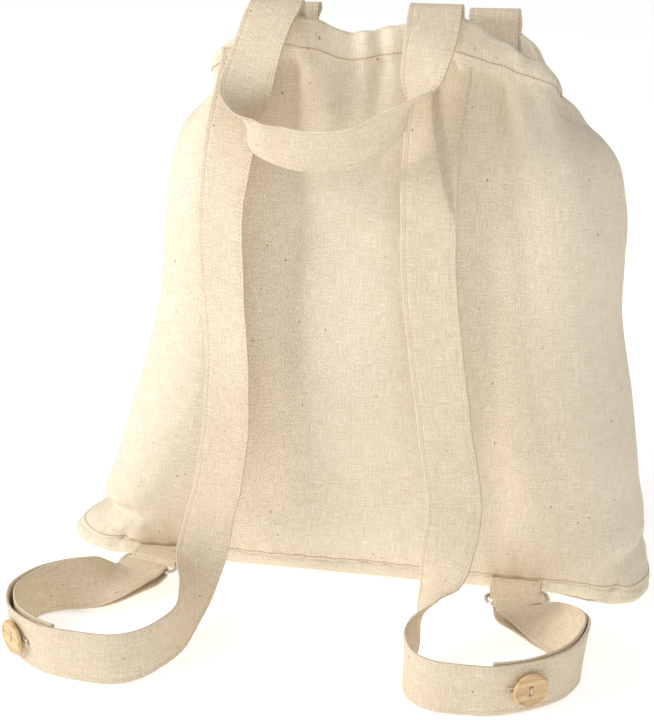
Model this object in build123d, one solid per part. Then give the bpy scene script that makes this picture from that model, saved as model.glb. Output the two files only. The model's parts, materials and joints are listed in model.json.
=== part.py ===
from build123d import *
import math
import os

# Canvas drawstring backpack standing on its base, lightly filled. Millimetres, +Z up.
# The origin is the middle of the base on the ground. The back panel with the straps faces -Y.

# --- driving dimensions ---------------------------------------------------------------
bag_width = 428.0  # at the base seam
bag_depth = 140.0  # at the fullest height
wall = 1.2  # canvas of the panels with its turned hems
base_height = 14.0  # how far the base panel turns up to its seam
seam_height = 386.0  # where the channel is stitched to the panels
front_drop = 14.0  # the front of the mouth stands this much lower than the back
channel_height = 41.0  # the hem that the draw bands run in
channel_depth = 8.0  # outer ply, room for the band, inner ply
side_vent = 3.0  # gap between the two channels at each side of the mouth
pull_width = 36.0  # the flat draw bands and their pull loops
pull_thick = 1.6
pull_hinge_gap = 3.0  # free cloth between a loop's root and the loop
pull_over_edge = 2.7  # how far a pull loop's cloth passes above the mouth's edge
draw_band_room = 2.5  # above and below a draw band inside its hem
strap_width = 38.0  # shoulder straps
strap_thick = 1.8
strap_cut = 12.0  # clear length where a strap changes from shoulder part to lower loop
layer_gap = 4.0  # between the two layers of a lower loop, centre to centre
ring_wire = 3.0
ring_inside = strap_width + 4  # clear width between the ring's sides
ring_pitch = 17.0  # from one long bar of the ring to the other
ring_corner = 6.0
fold_radius = 4.5  # middle of the strap's cloth round the ring's bar
tab_width = strap_width
tab_ply = 1.2
tab_fold_radius = 3.1
tab_root_drop = 1.0  # the tab comes out this far below the base seam
tab_root_spread = 0.4  # between the tab's two plies at its root
strap_arrival = 14.0  # straight cloth before the fold round the ring
strap_arrival_rise = 0.6
button_diameter = 25.0
button_thick = 4.0
button_rim = 0.9
button_rim_width = 2.4
thread_hole = 2.2
thread_hole_pitch = 5.0
thread_diameter = 1.4
button_lift = 1.4  # thread shank between the strap and the button
buttonhole_width = 2.6
buttonhole_spare = 3.0  # how much longer than the button a buttonhole is
clearance = 0.3

# The rings and routes below are laid out on a bag of these sizes and stretch with it.
drawn_width, drawn_depth, drawn_seam_height, drawn_strap = 428.0, 140.0, 386.0, 38.0
drawn_loops_top = 60.0  # heights above this stretch, the loops on the ground don't
wide = bag_width / drawn_width
deep = bag_depth / drawn_depth

# Rings of the bag's outside: height, half width, half depth, corner radius, shift along X.
drawn_rings = [
    (50.0, 205.0, 64.0, 46.0, 2.0),
    (120.0, 190.5, 70.0, 58.0, 7.5),
    (210.0, 171.0, 68.0, 62.0, 13.0),
    (290.0, 165.5, 60.0, 56.0, 14.5),
    (330.0, 155.5, 54.0, 50.0, 12.5),
    (360.0, 137.0, 47.0, 40.0, 8.5),
    (386.0, 122.0, 41.0, 30.0, 9.0),
]
drawn_base_rings = [
    (0.0, 206.0, 52.0, 34.0, 0.0),
    (base_height, 214.0, 58.0, 38.0, 0.0),
]

# Routes of the flat bands, chosen by hand: the middle of the band, then the direction
# from its first edge to its second.
left_route = [
    ((-82, -43, 384), (1, 0, 0)),
    ((-87, -63, 350), (1, 0, 0)),
    ((-92, -79, 300), (0.93, -0.38, 0)),
    ((-92, -86, 250), (0.93, -0.38, 0)),
    ((-88, -91, 200), (0.93, -0.38, 0)),
    ((-89, -94, 150), (0.95, -0.3, 0)),
    ((-93, -97, 105), (0.97, -0.24, 0)),
    ((-102, -103, 63), (0.96, -0.15, -0.24)),
    ((-106, -119, 35), (0.75, 0.15, -0.63)),
    ((-105, -148, 21), (0.33, 0.3, -0.9)),
    ((-104, -183, 20), (0.1, 0.1, -1)),
    ((-116, -212, 20), (0, 0, -1)),
    ((-136, -227, 20), (0, 0, -1)),
    ((-162, -229, 20), (0, 0, -1)),
    ((-192, -222, 20), (0, 0, -1)),
    ((-217, -204, 20), (0, 0, -1)),
    ((-228, -176, 20), (0, 0, -1)),
    ((-220, -151, 20), (0, 0, -1)),
    ((-204, -138, 20), (0.1, -0.1, -1)),
    ((-188, -130, 18), (0.45, -0.25, -0.85)),
    ((-172, -118, 13), (0.85, -0.3, -0.4)),
]
right_route = [
    ((54, -43, 384), (1, 0, 0)),
    ((51, -69, 345), (1, 0, 0)),
    ((52, -86, 300), (1, 0, 0)),
    ((55, -95, 250), (1, 0, 0)),
    ((62, -101, 200), (1, 0, 0)),
    ((70, -109, 152), (1, 0, 0.05)),
    ((78, -118, 112), (0.98, 0.05, 0.1)),
    ((79, -124, 88), (0.97, 0.1, 0.2)),
    ((73, -137, 55), (0.88, -0.2, 0.43)),
    ((66, -150, 40), (0.5, -0.65, 0.58)),
    ((60, -167, 27), (-0.1, -0.6, 0.8)),
    ((55, -188, 20), (0, 0, 1)),
    ((62, -207, 20), (0, 0, 1)),
    ((79, -217, 20), (0, 0, 1)),
    ((105, -218, 20), (0, 0, 1)),
    ((125, -214, 20), (0, 0, 1)),
    ((146, -203, 20), (0, 0, 1)),
    ((165, -184, 20), (0, 0, 1)),
    ((174, -160, 20), (0.1, 0, 1)),
    ((166, -137, 18), (0.6, 0.2, 0.78)),
    ((148, -117, 13), (0.85, 0.3, 0.42)),
]
# The back pull loop, measured from its hinge line: across, out from it, up from it.
pull_route = [
    ((-60, -9, -2), (1, 0, 0)),
    ((-63, -20, -12.5), (1, -0.1, 0)),
    ((-66, -32, -30.5), (0.95, -0.3, -0.1)),
    ((-68, -43, -50.5), (0.97, -0.2, 0)),
    ((-68.5, -50, -64.5), (1, 0.1, -0.05)),
    ((-66.5, -55.5, -72), (0.854, 0.5, -0.2)),
    ((-61.5, -61.5, -77.5), (0.5, 0.7, -0.5)),
    ((-54, -65.5, -80.5), (0.15, 0.55, -0.85)),
    ((-42, -67, -82.5), (0, 0.5, -0.87)),
    ((-20, -69, -86.5), (0, 0.5, -0.87)),
    ((6, -67, -81.5), (-0.1, 0.5, -0.87)),
    ((28, -61, -68.5), (-0.2, 0.4, -0.87)),
    ((42, -51, -50.5), (-0.6, 0.3, -0.7)),
    ((46, -41, -32.5), (-0.92, 0.2, -0.3)),
    ((48, -25, -14.5), (-1, 0, 0)),
    ((48, -10, -2.5), (-1, 0, 0)),
]
pull_roots_x = (-60.0, 48.0)
front_roots_x = (-64.0, 80.0)

# The two strap rings: where the tab's root is along X, the ring's turn about Z in
# degrees, and the middle of the tab's bar.
left_ring_place = (-152, -12.0, (-154, -73, 10))
right_ring_place = (121, 15.0, (121, -72, 10))

# Stations along the straps: the worn button, the strap's end, the spare buttonhole, and
# where the shoulder part changes to the lower loop.
left_stations = (14.7, 13.6, 18.4, 7.5)
right_stations = (15.7, 14.65, 19.4, 8.5)


def stretched(x, y, z):
    """A point laid out on the drawn bag, moved to where it is on this one."""
    share = max(0.0, z - drawn_loops_top) / (drawn_seam_height - drawn_loops_top)
    return (x * wide, y * deep, z + (seam_height - drawn_seam_height) * share)


def stretched_route(route):
    """A strap's route on this bag. A wider strap's upright stretches stand higher."""
    found = []
    for point, across in route:
        x, y, z = stretched(*point)
        lift = abs(across[2]) * (strap_width - drawn_strap) / 2
        found.append(((x, y, z + lift), across))
    return found


def stretched_ring(height, ring):
    half_width, half_depth, corner, shift = ring
    round_by = min(wide, deep)
    return (height, half_width * wide, half_depth * deep, corner * round_by, shift)


base_rings = [stretched_ring(ring[0], ring[1:]) for ring in drawn_base_rings]
tall = seam_height / drawn_seam_height
bag_rings = [stretched_ring(ring[0] * tall, ring[1:]) for ring in drawn_rings]


def front_height(height):
    """The front is cut lower than the back above its shoulder."""
    shoulder = bag_rings[3][0]
    share = max(0.0, height - shoulder) / (seam_height - shoulder)
    return height - front_drop * share


front_rings = [(front_height(ring[0]), *ring[1:]) for ring in bag_rings]


station_step = 0.02  # how finely places along a route are looked for
frames_to_close = 8  # frames in which the two layers come together after the ring


def vec(p):
    return Vector(*p)


def catmull(a, b, c, d, u):
    """The point at u between b and c of the smooth curve through a, b, c and d."""
    return (
        b * 2
        + (c - a) * u
        + (a * 2 - b * 5 + c * 4 - d) * (u * u)
        + (b * 3 - a - c * 3 + d) * (u**3)
    ) * 0.5


def smooth(points, at):
    """The point at a station number of the smooth curve through the points."""
    i = min(int(at), len(points) - 2)
    before = points[i - 1] if i > 0 else points[0] * 2 - points[1]
    last = len(points) - 1
    after = points[i + 2] if i + 2 <= last else points[last] * 2 - points[last - 1]
    return catmull(before, points[i], points[i + 1], after, at - i)


def frames_between(route, first, last, step=0.25):
    """Frames (middle, width direction, normal) along a route from one station to another."""
    middles = [vec(p) for p, e in route]
    widths = [vec(e).normalized() for p, e in route]
    count = max(2, math.ceil((last - first) / step))
    found = []
    for k in range(count + 1):
        at = first + (last - first) * k / count
        ahead = smooth(middles, min(at + station_step, len(route) - 1))
        behind = smooth(middles, max(at - station_step, 0))
        heading = (ahead - behind).normalized()
        width = smooth(widths, at)
        width = (width - heading * width.dot(heading)).normalized()
        found.append((smooth(middles, at), width, width.cross(heading).normalized()))
    return found


def band(frames, width, thick):
    """A flat band of cloth through the frames."""
    wires = []
    for middle, across, normal in frames:
        w = across * (width / 2)
        n = normal * (thick / 2)
        corners = [middle - w - n, middle + w - n, middle + w + n, middle - w + n]
        wires.append(Wire.make_polygon(corners, close=True))
    return Solid.make_loft(wires, ruled=True)


def ring_section(ring, inset=0.0):
    """One rounded rectangle of the bag, moved in by inset."""
    height, half_width, half_depth, corner, shift = ring
    outline = RectangleRounded(
        2 * (half_width - inset), 2 * (half_depth - inset), corner - inset
    )
    return Pos(shift, 0, height) * outline


def bag_skin(rings, inset=0.0):
    return loft([ring_section(ring, inset) for ring in rings])


def box_between(low, high):
    size = [h - l for l, h in zip(low, high)]
    middle = [(h + l) / 2 for l, h in zip(low, high)]
    return Pos(*middle) * Box(*size)


def write(name, shape):
    export_step(shape, f"parts/{name}.step")


far = 600.0
back_half = box_between((-far, -far, -far), (far, 0, far))
front_half = box_between((-far, 0, -far), (far, far, far))


def make_bag():
    """The two panels, sewn along the sides, and the base panel."""
    for name, rings, half in (
        ("back_panel", bag_rings, back_half),
        ("front_panel", front_rings, front_half),
    ):
        upper = [base_rings[1], *rings]
        write(name, (bag_skin(upper) - bag_skin(upper, wall)) & half)
    inner = [(wall, *base_rings[0][1:]), base_rings[1]]
    write("base_panel", bag_skin(base_rings) - bag_skin(inner, wall))


def channel_wall(inset_out, inset_in, low, high):
    """The stretch of hem between two insets and two heights."""
    top = bag_rings[-1]
    outer = extrude(ring_section((low, *top[1:]), inset_out), high - low)
    inner = extrude(ring_section((low, *top[1:]), inset_in), high - low)
    return outer - inner


lowered = Pos(0, 0, -front_drop)


def make_channels():
    """The hems at the mouth, each a tunnel that is open at the sides of the bag."""
    low = seam_height
    high = seam_height + channel_height
    hem = channel_wall(0, channel_depth, low, high)
    hollow = channel_wall(wall, channel_depth - wall, low + wall, high - wall)
    vent = box_between((-far, -side_vent / 2, 0), (far, side_vent / 2, far))
    hem = hem - hollow - vent
    write("back_channel", hem & back_half)
    write("front_channel", lowered * (hem & front_half))


def make_draw_bands():
    """The flat bands inside the hems. They end just inside the side vents."""
    middle = channel_depth / 2
    low = seam_height + draw_band_room
    high = seam_height + channel_height - draw_band_room
    tape = channel_wall(middle - pull_thick / 2, middle + pull_thick / 2, low, high)
    ends = box_between((-far, -side_vent * 2, 0), (far, side_vent * 2, far))
    tape = tape - ends
    write("back_draw_band", tape & back_half)
    write("front_draw_band", lowered * (tape & front_half))


pull_top = seam_height + channel_height + pull_thick / 2 + pull_over_edge
mouth_half_depth = bag_rings[-1][2] - channel_depth
pull_hinge_y = -(mouth_half_depth + channel_depth / 2)


def root_route(x):
    """A root climbs the hem's inner ply and turns over the mouth's edge."""
    inside = -(mouth_half_depth - clearance * 2 - pull_thick / 2)
    edge = seam_height + channel_height
    across = (1, 0, 0)
    return [
        ((x, inside, edge - 30), across),
        ((x, inside, edge - 15), across),
        ((x, inside, edge - 3), across),
        ((x, inside - 1.5, pull_top - 1), across),
        ((x, pull_hinge_y, pull_top), across),
    ]


def pull_shapes(roots_x):
    """The loop and its two roots on the back side, spread between two places along X."""
    drawn_from, drawn_to = pull_roots_x
    spread = (roots_x[1] - roots_x[0]) / (drawn_to - drawn_from)
    roots = []
    for x in roots_x:
        route = root_route(x)
        frames = frames_between(route, 0, len(route) - 1)
        roots.append(band(frames, pull_width, pull_thick))
    start_y = pull_hinge_y - pull_hinge_gap
    route = [((roots_x[0], start_y, pull_top), (1, 0, 0))]
    for (x, out, up), across in pull_route:
        place = (roots_x[0] + (x - drawn_from) * spread, pull_hinge_y + out, pull_top + up)
        route.append((place, across))
    route.append(((roots_x[1], start_y, pull_top), (-1, 0, 0)))
    loop = band(frames_between(route, 0, len(route) - 1), pull_width, pull_thick)
    return loop, roots


def make_pull_loops():
    """Each pull loop hangs over the mouth's edge from two roots inside it."""
    loop, roots = pull_shapes(pull_roots_x)
    write("back_pull_loop", loop)
    write("back_loop_roots", Compound(children=roots))
    loop, roots = pull_shapes(front_roots_x)
    write("front_pull_loop", lowered * mirror(loop, Plane.XZ))
    mirrored = [lowered * mirror(root, Plane.XZ) for root in roots]
    write("front_loop_roots", Compound(children=mirrored))


def ring_axes(place):
    """The bar's direction, the direction to the bag, and the two bars' middles."""
    tab_bar = vec(stretched(*place[2]))
    a = math.radians(place[1])
    along = Vector(math.cos(a), math.sin(a), 0)
    inward = Vector(-math.sin(a), math.cos(a), 0)
    strap_bar = tab_bar - inward * ring_pitch + Vector(0, 0, 1)
    return along, inward, tab_bar, strap_bar


def turn_round(centre, start, heading, width, radius, steps=8):
    """Frames of a half turn round centre, from the side that start points to."""
    found = []
    for k in range(steps + 1):
        a = math.pi * k / steps
        out = start * math.cos(a) + heading * math.sin(a)
        found.append((centre + out * radius, width, out * -1))
    return found


def make_ring_and_tab(side, place):
    along, inward, tab_bar, strap_bar = ring_axes(place)
    middle = (tab_bar + strap_bar) * 0.5
    slope = (tab_bar - strap_bar).normalized()
    plane = Plane(origin=middle, x_dir=along, z_dir=along.cross(slope))
    path = plane * RectangleRounded(
        ring_inside + ring_wire, (tab_bar - strap_bar).length, ring_corner
    )
    wire = path.wire()
    start = wire @ 0.0
    section = Plane(origin=start, z_dir=wire % 0.0) * Circle(ring_wire / 2)
    write(f"{side}_ring", sweep(section, path=wire))

    root = Vector(
        stretched(place[0], 0, 0)[0],
        -(base_rings[1][2] + tab_ply + clearance),
        base_height - tab_root_drop,
    )
    up = Vector(0, 0, 1)
    apart = up * ((tab_ply + tab_root_spread / 2) / 2)
    bend = turn_round(tab_bar, up, inward * -1, along, tab_fold_radius)
    frames = [(root + apart, Vector(1, 0, 0), up)]
    frames += [(middle, width, normal * -1) for middle, width, normal in bend]
    frames.append((root - apart, Vector(1, 0, 0), up * -1))
    write(f"{side}_tab", band(frames, tab_width, tab_ply))


def oriented_box(frame, along, across, thick):
    """A box lying in a band at a frame, with its length along the band."""
    middle, width, normal = frame
    plane = Plane(origin=middle, x_dir=normal.cross(width), z_dir=normal)
    return plane * Box(along, across, thick)


def make_button(side, frame):
    """A two-hole wooden button with a raised rim, and the thread that holds it."""
    middle, width, normal = frame
    outward = normal * -1
    seat = middle + outward * (strap_thick / 2 + button_lift)
    plane = Plane(origin=seat, x_dir=width, z_dir=outward)
    radius = button_diameter / 2
    disc = Pos(0, 0, button_thick / 2) * Cylinder(radius, button_thick)
    dish = Pos(0, 0, button_thick - button_rim / 2) * Cylinder(
        radius - button_rim_width, button_rim
    )
    hole = Pos(0, 0, button_thick / 2) * Cylinder(thread_hole / 2, button_thick * 2)
    offsets = (-thread_hole_pitch / 2, thread_hole_pitch / 2)
    button = disc - dish - [Pos(x, 0, 0) * hole for x in offsets]
    write(f"{side}_button", plane * button)

    face = button_thick - button_rim
    below = -(button_lift + layer_gap) + clearance
    stitch = box_between(
        (offsets[0], -thread_diameter / 2, face + clearance),
        (offsets[1], thread_diameter / 2, face + clearance + thread_diameter),
    )
    legs = []
    for x in offsets:
        top = face + clearance + thread_diameter
        legs.append(
            box_between(
                (x - thread_diameter / 2, -thread_diameter / 2, -button_lift / 2),
                (x + thread_diameter / 2, thread_diameter / 2, top),
            )
        )
    bridge = box_between(
        (offsets[0], -thread_diameter / 2, -button_lift / 2 - thread_diameter / 2),
        (offsets[1], thread_diameter / 2, -button_lift / 2),
    )
    bridge = Pos(0, 0, clearance / 2) * bridge
    shank_length = -button_lift / 2 - below
    shank = Pos(0, 0, below + shank_length / 2) * Cylinder(
        thread_diameter / 2, shank_length
    )
    write(f"{side}_button_thread", plane * (shank + bridge + stitch + legs))


def make_strap(side, route, place, stations):
    """A shoulder strap, its lower loop, and the end that comes back from the ring."""
    button_at, end_at, spare_at, cut_at = stations
    along, inward, tab_bar, strap_bar = ring_axes(place)
    up = Vector(0, 0, 1)
    arrive = strap_bar - up * fold_radius
    before = arrive - inward * strap_arrival + up * strap_arrival_rise
    full = stretched_route(route)
    full += [(tuple(before), tuple(along)), (tuple(arrive), tuple(along))]
    last = len(full) - 1

    shoulder = frames_between(full, 0, cut_at)
    write(f"{side}_shoulder_strap", band(shoulder, strap_width, strap_thick))

    middles = [vec(p) for p, e in full]
    start = cut_at
    while (smooth(middles, start) - smooth(middles, cut_at)).length < strap_cut:
        start += station_step
    outer = frames_between(full, start, last)
    turn = turn_round(strap_bar, up * -1, inward, along, fold_radius)
    half = len(turn) // 2
    loop = band(outer[:-1] + turn[: half + 1], strap_width, strap_thick)
    hole = button_diameter + buttonhole_spare
    slots = []
    for at in (button_at, spare_at):
        frame = frames_between(full, at, at + station_step)[0]
        slots.append(oriented_box(frame, hole, buttonhole_width, strap_thick * 3))
    write(f"{side}_strap_loop", loop - slots)

    returned = []
    inner = frames_between(full, end_at, last)
    for k, (middle, width, normal) in enumerate(reversed(inner)):
        near = max(0.0, 1 - k / frames_to_close)
        gap = layer_gap + (2 * fold_radius - layer_gap) * near
        if k == 0:
            normal = up
        returned.append((middle + normal * gap, width, normal * -1))
    end = band(turn[half:-1] + returned, strap_width, strap_thick)
    write(f"{side}_strap_end", end)
    make_button(side, frames_between(full, button_at, button_at + station_step)[0])


def main():
    os.makedirs("parts", exist_ok=True)
    make_bag()
    make_channels()
    make_draw_bands()
    make_pull_loops()
    make_ring_and_tab("left", left_ring_place)
    make_ring_and_tab("right", right_ring_place)
    make_strap("left", left_route, left_ring_place, left_stations)
    make_strap("right", right_route, right_ring_place, right_stations)


main()
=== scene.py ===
import json
import math

import bmesh
import bpy
import numpy as np
from mathutils import Matrix, Vector, noise

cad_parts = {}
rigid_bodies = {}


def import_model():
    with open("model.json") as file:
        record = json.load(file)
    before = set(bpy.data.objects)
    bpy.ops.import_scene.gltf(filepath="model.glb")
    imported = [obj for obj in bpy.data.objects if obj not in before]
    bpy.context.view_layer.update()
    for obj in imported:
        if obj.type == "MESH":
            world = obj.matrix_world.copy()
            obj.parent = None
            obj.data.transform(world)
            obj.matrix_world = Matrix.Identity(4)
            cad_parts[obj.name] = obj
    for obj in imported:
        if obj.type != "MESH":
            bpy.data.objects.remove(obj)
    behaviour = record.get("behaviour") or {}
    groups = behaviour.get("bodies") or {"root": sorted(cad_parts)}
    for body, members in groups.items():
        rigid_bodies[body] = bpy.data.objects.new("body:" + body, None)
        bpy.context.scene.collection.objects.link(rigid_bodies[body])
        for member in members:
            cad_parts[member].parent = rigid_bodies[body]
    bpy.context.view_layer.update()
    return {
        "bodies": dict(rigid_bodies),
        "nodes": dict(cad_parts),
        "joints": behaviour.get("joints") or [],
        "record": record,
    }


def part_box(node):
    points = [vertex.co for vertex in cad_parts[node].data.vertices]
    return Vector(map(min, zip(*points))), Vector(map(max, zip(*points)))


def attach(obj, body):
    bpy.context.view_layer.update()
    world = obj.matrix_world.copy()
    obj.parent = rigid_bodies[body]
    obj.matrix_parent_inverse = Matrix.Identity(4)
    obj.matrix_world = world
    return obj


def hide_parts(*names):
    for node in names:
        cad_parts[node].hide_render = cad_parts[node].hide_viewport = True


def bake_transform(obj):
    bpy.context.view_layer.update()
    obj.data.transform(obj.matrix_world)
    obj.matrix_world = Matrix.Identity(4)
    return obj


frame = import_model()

# ---- Where it stands ---------------------------------------------------------------------
# The bag stands on a plain pale floor under soft studio light that comes from the upper left.
# The camera looks down on its back from a little to the right.
aim = Vector((-0.022, -0.061, 0.180))
turned, raised, away = math.radians(11.0), math.radians(22.0), 1.121
back_off = Vector(
    (math.sin(turned) * math.cos(raised), -math.cos(turned) * math.cos(raised), math.sin(raised))
)
camera = bpy.data.objects.new("camera", bpy.data.cameras.new("camera"))
camera.data.lens = 78.0
camera.data.sensor_width = 36.0
camera.location = aim + back_off * away
camera.rotation_mode = "QUATERNION"
camera.rotation_quaternion = (-back_off).to_track_quat("-Z", "Y")
bpy.context.collection.objects.link(camera)
bpy.context.scene.camera = camera
bpy.context.scene.view_settings.view_transform = "Standard"

floor_mesh = bpy.data.meshes.new("floor")
floor_mesh.from_pydata([(-6, -6, 0), (6, -6, 0), (6, 6, 0), (-6, 6, 0)], [], [(0, 1, 2, 3)])
floor = bpy.data.objects.new("floor", floor_mesh)
bpy.context.collection.objects.link(floor)
floor_paint = bpy.data.materials.new("pale_floor")
floor_paint.use_nodes = True
floor_shader = floor_paint.node_tree.nodes["Principled BSDF"]
floor_shader.inputs["Base Color"].default_value = (0.93, 0.93, 0.93, 1)
floor_shader.inputs["Roughness"].default_value = 0.8
floor_shader.inputs["Emission Color"].default_value = (1, 1, 1, 1)
floor_shader.inputs["Emission Strength"].default_value = 0.46
floor_mesh.materials.append(floor_paint)

room = bpy.data.worlds.new("room")
room.use_nodes = True
room.node_tree.nodes["Background"].inputs["Color"].default_value = (1.0, 1.0, 1.0, 1)
room.node_tree.nodes["Background"].inputs["Strength"].default_value = 0.50
bpy.context.scene.world = room


def studio_light(name, place, towards, size, power):
    lamp = bpy.data.lights.new(name, "AREA")
    lamp.shape, lamp.size, lamp.energy = "SQUARE", size, power
    holder = bpy.data.objects.new(name, lamp)
    holder.location = place
    holder.rotation_mode = "QUATERNION"
    holder.rotation_quaternion = (Vector(towards) - Vector(place)).to_track_quat("-Z", "Y")
    bpy.context.collection.objects.link(holder)


studio_light("key", (-2.0, -1.0, 1.5), (0, 0, 0.2), 1.1, 39)
studio_light("fill", (0.6, -2.2, 1.5), (0, 0, 0.2), 1.6, 7)


# ---- The canvas ----------------------------------------------------------------------------
# Everything sewn is one cloth: unbleached cotton in a plain weave, with uneven yarns and small
# brown flecks of seed left in it. It is matt, a little hairy, and uneven in tone.
class Value:
    """A shader socket that can stand in a sum."""

    def __init__(self, tree, socket):
        self.tree, self.socket = tree, socket

    def join(self, operation, *others):
        node = self.tree.nodes.new("ShaderNodeMath")
        node.operation = operation
        for place, item in zip(node.inputs, others):
            if isinstance(item, Value):
                self.tree.links.new(item.socket, place)
            else:
                place.default_value = item
        return Value(self.tree, node.outputs[0])

    def __add__(self, other):
        return self.join("ADD", self, other)

    def __sub__(self, other):
        return self.join("SUBTRACT", self, other)

    def __rsub__(self, other):
        return self.join("SUBTRACT", other, self)

    def __mul__(self, other):
        return self.join("MULTIPLY", self, other)

    def __truediv__(self, other):
        return self.join("DIVIDE", self, other)

    def __pow__(self, other):
        return self.join("POWER", self, other)

    __radd__, __rmul__ = __add__, __mul__

    def sine(self):
        return self.join("SINE", self)

    def over(self, edge):
        return self.join("GREATER_THAN", self, edge)


class Finish:
    """A material in the making."""

    def __init__(self, name):
        self.material = bpy.data.materials.new(name)
        self.material.use_nodes = True
        self.tree = self.material.node_tree
        self.shader = self.tree.nodes["Principled BSDF"]

    def node(self, kind, settings=None, inputs=None, out=0):
        made = self.tree.nodes.new(kind)
        for key, value in (settings or {}).items():
            if key == "stops":
                ramp = made.color_ramp
                for stop, (at, colour) in zip([ramp.elements[0], ramp.elements[1]], value):
                    stop.position, stop.color = at, (*colour, 1)
                for at, colour in value[2:]:
                    ramp.elements.new(at).color = (*colour, 1)
            else:
                setattr(made, key, value)
        for key, value in (inputs or {}).items():
            self.put(made.inputs[key], value)
        return Value(self.tree, made.outputs[out])

    def put(self, socket, value):
        if isinstance(value, Value):
            self.tree.links.new(value.socket, socket)
        else:
            socket.default_value = value

    def tint(self, share, low, high):
        """A colour between two colours, each either plain or made by another node."""
        low, high = (c if isinstance(c, Value) else (*c, 1) for c in (low, high))
        return self.node("ShaderNodeMix", {"data_type": "RGBA"}, {0: share, 6: low, 7: high}, out=2)

    def shade(self, **values):
        for key, value in values.items():
            self.put(self.shader.inputs[key.replace("_", " ")], value)


def canvas_finish(name, light, deep, yarn=0.0010, relief=0.00032):
    """Plain-woven cotton. light and deep are its tones, yarn the distance between threads."""
    f = Finish(name)
    flat = f.node("ShaderNodeUVMap", {"uv_map": "Cloth"})
    solid = f.node("ShaderNodeTexCoord", out=3)
    across = f.node("ShaderNodeSeparateXYZ", inputs={"Vector": flat}, out=0)
    along = f.node("ShaderNodeSeparateXYZ", inputs={"Vector": flat}, out=1)
    sway = f.node("ShaderNodeTexNoise", inputs={"Vector": solid, "Scale": 45.0, "Detail": 2.0})
    warp = (across * (math.pi / yarn) + sway * 5.0).sine()
    weft = (along * (math.pi / yarn) + sway * 4.0).sine()
    crossing = warp * weft
    long_yarn = f.node(
        "ShaderNodeMapping", inputs={"Vector": flat, "Scale": (2000.0, 75.0, 1.0)}
    )
    cross_yarn = f.node(
        "ShaderNodeMapping", inputs={"Vector": flat, "Scale": (75.0, 2000.0, 1.0)}
    )
    slub_up = f.node("ShaderNodeTexNoise", inputs={"Vector": long_yarn, "Scale": 1.0})
    slub_over = f.node("ShaderNodeTexNoise", inputs={"Vector": cross_yarn, "Scale": 1.0})
    slubs = slub_up + slub_over - 1.0
    fuzz = f.node("ShaderNodeTexNoise", inputs={"Vector": solid, "Scale": 900.0, "Detail": 2.0})
    cloud = f.node(
        "ShaderNodeTexNoise", inputs={"Vector": solid, "Scale": 9.0, "Detail": 4.0}
    )

    cells = f.node("ShaderNodeMapping", inputs={"Vector": flat, "Scale": (150.0, 105.0, 1.0)})
    near = f.node("ShaderNodeTexVoronoi", inputs={"Vector": cells, "Scale": 1.0}, out=0)
    lot = f.node("ShaderNodeTexVoronoi", inputs={"Vector": cells, "Scale": 1.0}, out=1)
    luck = f.node("ShaderNodeSeparateColor", inputs={"Color": lot}, out=0)
    reach = luck * luck * 0.125
    speck = f.node(
        "ShaderNodeMapRange",
        {"interpolation_type": "SMOOTHSTEP"},
        {"Value": near - reach, "From Min": -0.03, "From Max": 0.0, "To Min": 1.0, "To Max": 0.0},
    )
    speck = speck * luck.over(0.5)

    tone = cloud * 0.7 + slubs * 2.0 + crossing * 0.28 + fuzz * 1.4 - 0.6
    cloth = f.tint(tone, deep, light)
    flecked = f.tint(speck * 0.8, cloth, (0.30, 0.17, 0.07))
    height = crossing * 0.5 + slubs * 0.6 + fuzz * 0.4
    bump = f.node(
        "ShaderNodeBump", inputs={"Height": height, "Strength": 0.75, "Distance": relief}
    )
    f.shade(Base_Color=flecked, Roughness=0.86 + crossing * 0.05 + fuzz * 0.08, Normal=bump)
    f.shade(Sheen_Weight=0.06, Sheen_Roughness=0.6, Specular_IOR_Level=0.25)
    return f.material


panel_canvas = canvas_finish("panel_canvas", (0.93, 0.835, 0.67), (0.735, 0.62, 0.455))
strap_canvas = canvas_finish("strap_canvas", (0.86, 0.745, 0.575), (0.66, 0.535, 0.37), 0.0011)


def add_piece(name, points, faces, finish, places=None):
    """A mesh object of the points and faces, smooth, with the cloth's own map if given."""
    mesh = bpy.data.meshes.new(name)
    mesh.from_pydata([tuple(p) for p in points], [], faces)
    mesh.polygons.foreach_set("use_smooth", [True] * len(mesh.polygons))
    if places is not None:
        layer = mesh.uv_layers.new(name="Cloth")
        for loop in mesh.loops:
            layer.data[loop.index].uv = places[loop.vertex_index]
    mesh.materials.append(finish)
    made = bpy.data.objects.new(name, mesh)
    bpy.context.collection.objects.link(made)
    return made


def settle(piece):
    """The piece with its modifiers worked into its mesh."""
    bpy.context.view_layer.update()
    seen = piece.evaluated_get(bpy.context.evaluated_depsgraph_get())
    mesh = bpy.data.meshes.new_from_object(seen)
    piece.modifiers.clear()
    piece.data = mesh
    return piece


# ---- The bag: back and front cloth -----------------------------------------------------------
# Two pieces of canvas sewn together up the sides and to the base. Each is turned in at the
# mouth to make a flat tunnel for the draw band, stitched down, and gathered along it.
back_rows = [  # height, half width, half depth, corner, shift along X
    (0.014, 0.214, 0.058, 0.038, 0.000),
    (0.050, 0.205, 0.064, 0.046, 0.002),
    (0.120, 0.1905, 0.070, 0.058, 0.0075),
    (0.210, 0.171, 0.068, 0.062, 0.013),
    (0.290, 0.1655, 0.060, 0.056, 0.0145),
    (0.330, 0.1555, 0.054, 0.050, 0.0125),
    (0.360, 0.137, 0.047, 0.040, 0.0085),
    (0.386, 0.122, 0.041, 0.030, 0.009),
]
base_seam = back_rows[0][0]
shoulder = 0.290
front_drop = 0.014
front_rows = [
    (r[0] - front_drop * max(0.0, r[0] - shoulder) / (back_rows[-1][0] - shoulder), *r[1:])
    for r in back_rows
]
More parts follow.
